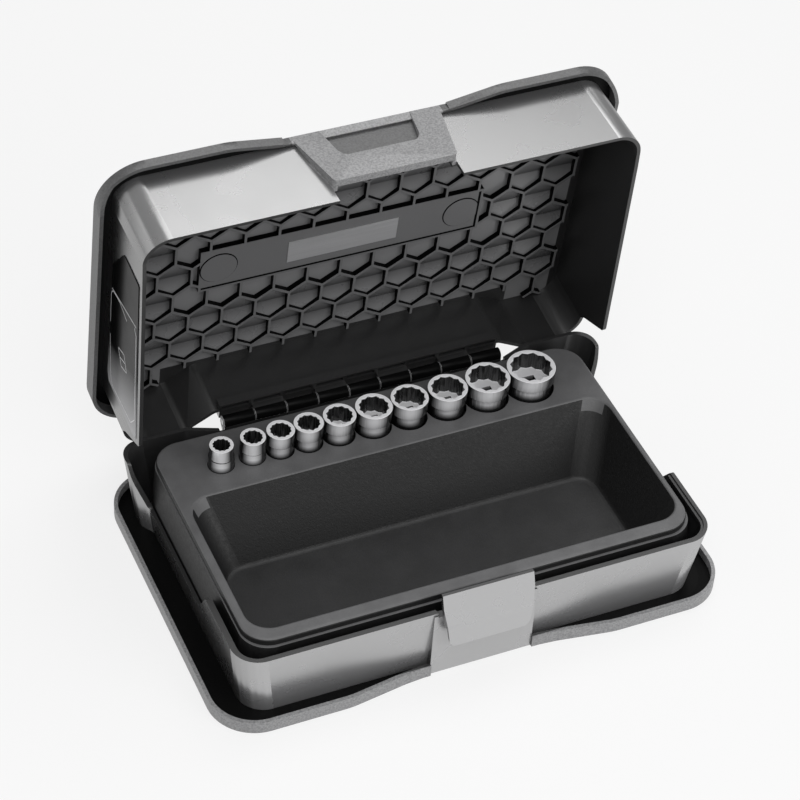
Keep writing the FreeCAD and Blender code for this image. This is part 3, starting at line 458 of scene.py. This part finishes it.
def near_hinge(tree, vector):
    """The knuckles, around the hinge axis."""
    x, y, z = tree.split(vector)
    back = tree.math("SUBTRACT", y, HINGE.y)
    rise = tree.math("SUBTRACT", z, HINGE.z)
    reach = tree.length(back, rise)
    return tree.every(tree.under(reach, KNUCKLE_REACH), tree.under(tree.size_of(x), HINGE_ZONE))


def hinge_masks(tree, vector):
    """The knuckles, which get painted shade, and the thin painted highlight line between each two
    of them.
    """
    near = near_hinge(tree, vector)
    x = tree.split(vector)[0]
    share = tree.math("FRACT", tree.math("DIVIDE", tree.math("ADD", x, HINGE_HALF), KNUCKLE_PITCH))
    to_middle = tree.size_of(tree.math("SUBTRACT", share, 0.5))
    line = tree.every(near, tree.over(to_middle, 0.5 - KNUCKLE_HIGHLIGHT_LINE / KNUCKLE_PITCH / 2))
    return tree.math("SUBTRACT", near, line), line


def base_masks(tree, vector):
    """Masks of the base, which has no inner panel."""
    x, y, z = tree.split(vector)
    # Painted light on the flange and knuckle lines; painted shade in the groove at the wall's foot
    # and on the knuckles.
    flange = tree.every(beyond(tree, x, y, BASE_EDGE_INSIDE), tree.under(z, BASE_EDGE_TOP))
    level = tree.every(tree.over(z, BASE_PLATE - MM), tree.under(z, BASE_PLATE + MM))
    upward = tree.over(tree.facing(), LEVEL_FACE)
    painted_shade = tree.every(beyond(tree, x, y, BASE_WALL_FOOT), level, upward)
    knuckles, line = hinge_masks(tree, vector)
    painted_lit = tree.some(flange, line)
    return painted_lit, painted_lit, tree.some(painted_shade, knuckles), 0.0


def no_masks(tree, vector):
    """Masks of a plain piece."""
    return 0.0, 0.0, 0.0, 0.0


def lid_masks(tree, vector):
    """Masks of the lid: the boss is painted pale as if lit, and the slot in it is as dark as the
    flange.
    """
    x, y, z = tree.split(vector)
    flange = tree.every(beyond(tree, x, y, LID_EDGE_INSIDE), tree.over(z, LID_EDGE_LOW))
    half = tree.span(z, BOSS_LOW, BOSS_HIGH, BOSS_HALF_LOW, BOSS_HALF_HIGH)
    beside = tree.under(tree.size_of(x), half)
    boss = tree.every(beside, tree.under(y, BOSS_FRONT), tree.over(z, BOSS_LOW))
    level = tree.every(tree.over(z, LID_PLATE - MM), tree.under(z, LID_PLATE + MM))
    inner_plate = tree.every(level, tree.under(tree.facing(lid=True), -LEVEL_FACE))
    outer_plate = tree.every(inner_plate, beyond(tree, x, y, LID_WALL_ROOT))
    knuckles, line = hinge_masks(tree, vector)
    # The plate between the lid's lip and wall, and the knuckles, get painted shade.
    painted_shade = tree.some(outer_plate, knuckles)
    left, right, front, rear = (limit * MM for limit in COMB_LIMITS)
    along = tree.every(tree.over(x, left), tree.under(x, right))
    pocket = tree.every(tree.over(tree.size_of(x), POCKET_START), tree.under(y, POCKET_REAR))
    within = tree.every(along, tree.over(y, front), tree.some(tree.under(y, rear), pocket))
    painted_lit = tree.some(boss, line)
    slot_level = tree.every(tree.over(z, SLOT_LOW), tree.under(z, LID_PLATE))
    slot = tree.every(tree.under(tree.size_of(x), SLOT_HALF), slot_level, tree.under(y, SLOT_BACK))
    return tree.some(flange, painted_lit, slot), painted_lit, painted_shade, tree.every(inner_plate, within)


def tray_material():
    """Matt grain with painted light: palest on the deck, painted shade on the bin's floor, darkest
    on its walls.
    """
    tree = Tree("tray_grain")
    vector = tree.place()
    tone = tree.mottle(vector, 60.0, 3.0)
    above = tree.over(tree.split(vector)[2], DECK_LOW)
    deck = tree.every(tree.over(tree.facing(), DECK_FACE), above)
    floor = tree.over(tree.facing(), BIN_FLOOR_FACE)
    # The bin gets painted shade, darkest on its walls.
    bin_painted_shade = tree.mix(floor, grey(BIN_WALL_PAINTED_SHADE_GREY), tree.greys(tone, *BIN_FLOOR_PAINTED_SHADE_GREYS))
    tree.set("Base Color", tree.mix(deck, bin_painted_shade, tree.greys(tone, *DECK_PAINTED_LIGHT_GREYS)))
    tree.set("Roughness", tree.mottle(vector, 500.0, 2.0, 0.44, 0.58))
    tree.set("IOR", 1.5)
    tree.bump(grain(tree, vector), 0.0003, 0.6)
    return tree.material


def ring_line(tree, x, y, centre):
    """Thin line of painted shade at the foot of a round boss of the bar."""
    across = tree.math("SUBTRACT", x, centre[0] * MM)
    along = tree.math("SUBTRACT", y, centre[1] * MM)
    reach = tree.length(across, along)
    return tree.every(tree.over(reach, DISC_LINE_IN * MM), tree.under(reach, DISC_LINE_OUT * MM))


def comb_material():
    """Ribs with painted shade on their flanks; the bar has a painted shadow line along its rear and
    right edges.
    """
    tree = Tree("comb_gloss")
    vector = tree.closed()
    x, y, z = tree.split(vector)
    flank = tree.over(z, (COMB_FACE + RIB_TOP) * MM)
    left, right, front, rear = (limit * MM for limit in BAR_LIMITS)
    rim = COMB_RIB * MM
    line = BAR_LINE * MM
    in_x = tree.every(tree.over(x, left + rim), tree.under(x, right - rim))
    in_y = tree.every(tree.over(y, front + rim), tree.under(y, rear - rim))
    rear_line = tree.every(in_x, in_y, tree.over(y, rear - rim - line))
    right_line = tree.every(in_x, in_y, tree.over(x, right - rim - line))
    rings = [ring_line(tree, x, y, centre) for centre in DISC_CENTRES]
    comb_painted_shade = tree.some(flank, rear_line, right_line, *rings)
    tree.set("Base Color", tree.greys(comb_painted_shade, *COMB_AND_SHADE_GREYS))
    tree.set("Roughness", tree.mottle(vector, 60.0, 3.0, 0.28, 0.4))
    tree.set("IOR", 1.6)
    tree.set("Specular IOR Level", tree.blend(comb_painted_shade, 0.5, 0.02))
    tree.bump(tree.noise(vector, 500.0, 2.0), 0.0001, 0.2)
    return tree.material


def cell_floor_material():
    """Painted shade just ahead of the crease, darkest there, and painted light at both ends of the
    cell.
    """
    tree = Tree("cell_floor")
    vector = tree.closed()
    y = tree.split(vector)[1]
    rows = tree.math("DIVIDE", tree.math("SUBTRACT", y, COMB_MIDDLE * MM), COMB_ROW * MM)
    offset = tree.math("SUBTRACT", tree.math("FRACT", tree.math("ADD", rows, 0.5)), 0.5)
    ahead = tree.span(offset, -0.5, 0.0, *CELL_PAINTED_SHADING_AHEAD)
    behind = tree.span(offset, 0.0, 0.5, *CELL_PAINTED_SHADING_BEHIND)
    tone = tree.blend(tree.over(offset, 0.0), ahead, behind)
    tree.set("Base Color", tree.greys(tone, 0.0, 1.0))
    tree.set("Roughness", tree.mottle(vector, 60.0, 3.0, 0.24, 0.34))
    tree.set("IOR", 1.7)
    tree.bump(tree.noise(vector, 500.0, 2.0), 0.0001, 0.2)
    return tree.material


def chrome_material(nut, place):
    """Satin chrome with painted highlights on its rim, broach floor and a barrel band, painted dark
    reflection on the barrel's sides, and painted shade inside the broach.
    """
    tree = Tree(f"satin_chrome_{nut}")
    vector = tree.place()
    x, y, z = tree.split(vector)
    across = tree.math("SUBTRACT", x, place * MM)
    along = tree.math("SUBTRACT", y, SOCKET_ROW * MM)
    floor_top = SOCKET_TOP - BROACH_DEPTH + RIM_DEPTH
    deep = tree.under(z, (SOCKET_TOP - BROACH_LIP) * MM)
    above_floor = tree.over(z, floor_top * MM)
    within = tree.under(tree.length(across, along), (nut * BROACH_REACH + BROACH_MARGIN) * MM)
    inward = tree.under(tree.outward(across, along), 0.0)
    bore = tree.every(within, deep, above_floor, inward)
    floor_low = tree.over(z, (SOCKET_TOP - BROACH_DEPTH - BROACH_FLOOR) * MM)
    level = tree.over(tree.facing(), LEVEL_FACE)
    floor = tree.every(within, floor_low, level, tree.under(z, floor_top * MM))
    # The rim and the broach's floor get the white painted highlight.
    rim = tree.some(tree.over(z, (SOCKET_TOP - RIM_DEPTH) * MM), floor)
    tone = tree.mottle(vector, 90.0, 4.0)
    # Painted highlight band on the barrel, over a painted dark reflection.
    sheen = tree.outward(PAINTED_SHEEN_ACROSS, PAINTED_SHEEN_ALONG)
    painted_highlight = tree.every(tree.span(sheen, *PAINTED_SHEEN_FACING), tree.span(z, *PAINTED_SHEEN_LEVELS))
    barrel_painted_reflection = tree.mix(painted_highlight, tree.greys(tone, *CHROME_DARK_REFLECTION_GREYS), grey(PAINTED_HIGHLIGHT_GREY))
    streak = tree.mottle(tree.scaled(vector, BROACH_STREAKS), 1.0, 2.0, spread=0.15)
    bore_painted_shade = tree.greys(streak, *BROACH_PAINTED_SHADE_GREYS)
    body = tree.mix(rim, barrel_painted_reflection, grey(RIM_PAINTED_HIGHLIGHT_GREY))
    tree.set("Base Color", tree.mix(bore, body, bore_painted_shade))
    tree.set("Metallic", tree.blend(rim, tree.blend(painted_highlight, 0.6, 0.25), 0.05))
    satin = tree.mottle(vector, 260.0, 3.0, 0.16, 0.26)
    tree.set("Roughness", tree.blend(rim, satin, 0.42))
    tree.bump(tree.noise(vector, 1100.0, 2.0), 0.00005, 0.25)
    return tree.material


def steel_material():
    """Plain steel wire."""
    tree = Tree("pin_steel")
    vector = tree.place()
    tree.set("Base Color", tree.greys(tree.noise(vector, 200.0, 3.0), *PIN_GREYS))
    tree.set("Metallic", 1.0)
    tree.set("Roughness", tree.mottle(vector, 400.0, 2.0, 0.28, 0.4))
    return tree.material


def nameplate_material():
    """Satin metal, brushed along its length."""
    tree = Tree("blank_plate")
    vector = tree.closed()
    streak = tree.noise(tree.scaled(vector, NAMEPLATE_STREAKS), 1.0, 3.0)
    tree.set("Base Color", tree.greys(streak, *NAMEPLATE_GREYS))
    tree.set("Metallic", 0.6)
    tree.set("Roughness", tree.span(streak, 0.3, 0.7, 0.3, 0.45))
    return tree.material


def side_label_material():
    """Glossy film that fades from black to pale grey towards its rear end."""
    tree = Tree("label_film")
    vector = tree.closed()
    y, z = tree.split(vector)[1:]
    slanted = tree.math("SUBTRACT", y, tree.math("MULTIPLY", z, LABEL_SLANT))
    tree.set("Base Color", tree.greys(tree.span(slanted, *LABEL_FADE), *LABEL_GREYS))
    tree.set("Roughness", tree.mottle(vector, 50.0, 2.0, 0.12, 0.2))
    tree.set("IOR", 1.25)
    tree.set("Specular IOR Level", 0.08)
    return tree.material


def ink_material():
    """Pale print."""
    tree = Tree("label_ink")
    vector = tree.closed()
    tree.set("Base Color", tree.greys(tree.noise(vector, 300.0), *INK_GREYS))
    tree.set("Roughness", tree.mottle(vector, 80.0, 2.0, 0.3, 0.4))
    return tree.material


# ------------------------------------------------------------------ dressing the nodes
def dress(node, material, width=0.4):
    """Gives a CAD node its material, welds it and rounds its edges by a width in mm."""
    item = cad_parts[node]
    item.data.materials.clear()
    item.data.materials.append(material)
    weld = item.modifiers.new("Weld", "WELD")
    weld.merge_threshold = WELD_REACH
    if width:
        edge = item.modifiers.new("Edges", "BEVEL")
        edge.width = width * MM
        edge.segments = 2
        edge.limit_method = "ANGLE"
        edge.angle_limit = EDGE_ANGLE
        edge.use_clamp_overlap = True
        edge.harden_normals = True


case = moulding("case_moulding", CASE_AND_LIT_FRONT_GREYS, base_masks)
latch = moulding("latch_moulding", LATCH_AND_LIT_FRONT_GREYS, no_masks)
lid = moulding("lid_moulding", LID_AND_LIT_FRONT_GREYS, lid_masks, lid=True)
comb = comb_material()
dress("base_shell", case)
dress("latch_flap", latch)
dress("hinge_pin", steel_material(), 0)
dress("tray_insert", tray_material(), 0.4)
dress("lid_shell", lid)
dress("lid_honeycomb", comb, 0.3)
dress("blank_nameplate", nameplate_material(), 0.15)
dress("side_label", side_label_material(), 0)
for nut, place in SOCKETS:
    dress(f"socket_{nut}mm", chrome_material(nut, place), 0.25)


# ------------------------------------------------------------------ added pieces
def new_object(name, points, faces, material):
    """A mesh object in the scene."""
    mesh = bpy.data.meshes.new(name)
    mesh.from_pydata(points, [], faces)
    mesh.materials.append(material)
    mesh.update()
    item = bpy.data.objects.new(name, mesh)
    bpy.context.scene.collection.objects.link(item)
    return item


def lid_piece(name, points, faces, material):
    """A mesh given in mm with the lid shut, turned open and carried by the lid."""
    turn = Matrix.Rotation(-OPEN_ANGLE, 3, "X")
    placed = [HINGE + turn @ (Vector(point) * MM - HINGE) for point in points]
    item = new_object(name, placed, faces, material)
    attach(item, "lid")
    return item


def cell_reach(half):
    """Distance from a cell's middle to its front and rear corners."""
    stretch = COMB_ROW / (COMB_PITCH * math.sqrt(3) / 2)
    return half * 2 / math.sqrt(3) * stretch


def cell_centres(rows):
    """Middles of the cells in some rows, counted from the middle row."""
    for across in rows:
        for along in range(-CELLS_EACH_WAY, CELLS_EACH_WAY + 1):
            x = COMB_SHIFT + COMB_PITCH * (along - 0.5 * ((across + 1) % 2))
            yield x, COMB_MIDDLE + COMB_ROW * across


def add_cell_floors():
    """Cell floors that slope from both ends down to a level crease across the middle."""
    half = (COMB_PITCH - COMB_RIB) / 2
    reach = cell_reach(half)
    left, right, front, rear = COMB_LIMITS
    bar_left, bar_right, bar_front, bar_rear = BAR_LIMITS
    points = []
    faces = []
    for x, y in cell_centres(CELL_ROWS):
        inside = left < x - half and x + half < right and front < y - reach and y + reach < rear
        beside_bar = x + half < bar_left or x - half > bar_right
        clear = beside_bar or y + reach < bar_front or y - reach > bar_rear
        if not (inside and clear):
            continue
        first = len(points)
        for share in CELL_SHARES:
            wide = min(half, half * 2 * (1 - abs(share))) - CELL_GAP
            height = COMB_FLOOR - CELL_LIFT - CREASE_DEPTH * abs(share)
            points += [(x + side, y + reach * share, height) for side in (-wide, wide)]
        for step in range(len(CELL_SHARES) - 1):
            corner = first + 2 * step
            faces.append((corner, corner + 2, corner + 3, corner + 1))
    floors = lid_piece("cell_floors", points, faces, cell_floor_material())


def clipped(start, end, box):
    """Part of a line that lies inside a box of left, right, front and rear, or None."""
    left, right, front, rear = box
    (x0, y0), (x1, y1) = start, end
    enter, leave = 0.0, 1.0
    for low, high, place, travel in ((left, right, x0, x1 - x0), (front, rear, y0, y1 - y0)):
        if abs(travel) < 1e-9:
            if not low <= place <= high:
                return None
            continue
        first, second = sorted(((low - place) / travel, (high - place) / travel))
        enter, leave = max(enter, first), min(leave, second)
    if leave <= enter:
        return None
    return [(x0 + (x1 - x0) * share, y0 + (y1 - y0) * share) for share in (enter, leave)]


def add_corner_ribs():
    """Ribs of the honeycomb that run on into the lid's two rear corners."""
    half = COMB_PITCH / 2
    tall = cell_reach(half)
    sides = set()
    for x, y in cell_centres(CORNER_ROWS):
        ring = [(x, y + tall), (x + half, y + tall / 2), (x + half, y - tall / 2)]
        ring += [(x, y - tall), (x - half, y - tall / 2), (x - half, y + tall / 2)]
        ring = [(round(across, 2), round(along, 2)) for across, along in ring]
        for start, end in zip(ring, ring[1:] + ring[:1]):
            sides.add(tuple(sorted((start, end))))
    points = []
    faces = []
    for start, end in sorted(sides):
        for box in CORNER_POCKETS:
            line = clipped(start, end, box)
            if line is None:
                continue
            (x0, y0), (x1, y1) = line
            length = math.hypot(x1 - x0, y1 - y0)
            if length < SHORTEST_RIB:
                continue
            side_x = -(y1 - y0) / length * COMB_RIB / 2
            side_y = (x1 - x0) / length * COMB_RIB / 2
            first = len(points)
            for z in (COMB_FACE, COMB_FLOOR):
                points += [(x0 + side_x, y0 + side_y, z), (x0 - side_x, y0 - side_y, z)]
                points += [(x1 - side_x, y1 - side_y, z), (x1 + side_x, y1 + side_y, z)]
            faces += [tuple(first + corner for corner in quad) for quad in BOX_FACES]
    ribs = lid_piece("corner_ribs", points, faces, comb)


def stroke(points, faces, corners, width, face):
    """A flat line of a given width along the corners, at x = face."""
    for (y0, z0), (y1, z1) in zip(corners, corners[1:]):
        length = math.hypot(y1 - y0, z1 - z0)
        across_y = -(z1 - z0) / length * width / 2
        across_z = (y1 - y0) / length * width / 2
        first = len(points)
        points += [
            (face, y0 + across_y, z0 + across_z),
            (face, y0 - across_y, z0 - across_z),
            (face, y1 - across_y, z1 - across_z),
            (face, y1 + across_y, z1 + across_z),
        ]
        faces.append((first, first + 1, first + 2, first + 3))


def rounded(y, z, radius, start):
    """Corner points of a quarter turn about y, z."""
    angles = [math.radians(start + 90 * step / 6) for step in range(7)]
    return [(y + radius * math.cos(angle), z + radius * math.sin(angle)) for angle in angles]


def add_label_lines():
    """Frame lines and an open-booklet sign on the side label, as y and z in mm."""
    points = []
    faces = []
    face = LABEL_FACE - LABEL_LIFT
    bend = reversed(rounded(-12.4, 89.3, 7.0, 90))
    upper = [(-17.6, 68.4), (-21.0, 81.0), (-19.5, 89.0), *bend, (12.0, 95.8)]
    corner = reversed(rounded(57.5, 84.6, 6.0, 0))
    lower = [(22.8, 95.2), (56.0, 91.0), *corner, (60.0, 53.0), (51.0, 47.2)]
    lower += [(-21.4, 52.2), (-26.0, 55.5)]
    sign = [(15.0, 70.0), (25.8, 64.5), (30.0, 74.0), (19.0, 80.0), (15.0, 70.0)]
    fold = [(20.4, 67.2), (24.5, 77.0)]
    slant = [(-18.8, 95.8), (-29.1, 53.0)]
    for corners in (upper, lower, sign, fold, slant):
        stroke(points, faces, corners, LABEL_LINE, face)
    lid_piece("label_lines", points, faces, ink_material())


def add_hinge_shade_strip():
    """Dark strip on the rear wall's edge, just below the knuckles: painted shade that hides the
    gap.
    """
    low = Vector(SHADE_STRIP_LOW) * MM
    high = Vector(SHADE_STRIP_HIGH) * MM
    points = [(x, y, z) for x in (low.x, high.x) for y in (low.y, high.y) for z in (low.z, high.z)]
    faces = [(0, 1, 3, 2), (4, 6, 7, 5), (0, 4, 5, 1), (2, 3, 7, 6), (0, 2, 6, 4), (1, 5, 7, 3)]
    item = new_object("hinge_shade_strip", points, faces, case)
    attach(item, "base")


add_cell_floors()
add_corner_ribs()
add_label_lines()
add_hinge_shade_strip()


# ------------------------------------------------------------------ floor, light, camera
def make_floor():
    """White floor that also glows for the camera and in reflections, but lights nothing."""
    tree = Tree("floor_white")
    tree.set("Base Color", (FLOOR_GREY, FLOOR_GREY, FLOOR_GREY, 1))
    tree.set("Roughness", 0.9)
    glow = tree.node("ShaderNodeEmission")
    glow.inputs["Strength"].default_value = 1.0
    path = tree.node("ShaderNodeLightPath")
    seen = tree.math("MAXIMUM", path.outputs["Is Camera Ray"], path.outputs["Is Glossy Ray"])
    share = tree.math("MULTIPLY", seen, FLOOR_GLOW)
    mixed = tree.node("ShaderNodeMixShader")
    tree.links.new(share, mixed.inputs[0])
    tree.links.new(tree.shader.outputs[0], mixed.inputs[1])
    tree.links.new(glow.outputs[0], mixed.inputs[2])
    tree.links.new(mixed.outputs[0], tree.nodes["Material Output"].inputs["Surface"])
    half = FLOOR_HALF
    corners = [(-half, -half, 0), (half, -half, 0), (half, half, 0), (-half, half, 0)]
    floor = new_object("floor", corners, [(0, 1, 2, 3)], tree.material)
    floor.location.z = -FLOOR_DROP


def make_lamp(name, place, aim, width, height, power):
    """Rectangular lamp that points at its aim."""
    data = bpy.data.lights.new(name, "AREA")
    data.shape = "RECTANGLE"
    data.size = width
    data.size_y = height
    data.energy = power
    lamp = bpy.data.objects.new(name, data)
    lamp.location = place
    lamp.rotation_euler = (Vector(aim) - Vector(place)).to_track_quat("-Z", "Y").to_euler()
    bpy.context.scene.collection.objects.link(lamp)


def make_world():
    """Even white light from all round."""
    world = bpy.data.worlds.new("studio")
    world.use_nodes = True
    background = world.node_tree.nodes["Background"]
    background.inputs["Color"].default_value = (1, 1, 1, 1)
    background.inputs["Strength"].default_value = WORLD_LIGHT
    bpy.context.scene.world = world


def make_camera():
    """Camera of the photograph."""
    data = bpy.data.cameras.new("camera")
    data.lens = CAMERA_LENS
    data.sensor_fit = "HORIZONTAL"
    data.sensor_width = CAMERA_SENSOR
    data.clip_end = CAMERA_REACH
    camera = bpy.data.objects.new("camera", data)
    turn = Matrix((CAMERA_RIGHT, CAMERA_UP, CAMERA_BACK)).transposed()
    camera.matrix_world = Matrix.Translation(CAMERA_PLACE) @ turn.to_4x4()
    bpy.context.scene.collection.objects.link(camera)
    bpy.context.scene.camera = camera


make_floor()
make_world()
for lamp in LAMPS:
    make_lamp(*lamp)
make_camera()
bpy.context.scene.view_settings.view_transform = "Standard"
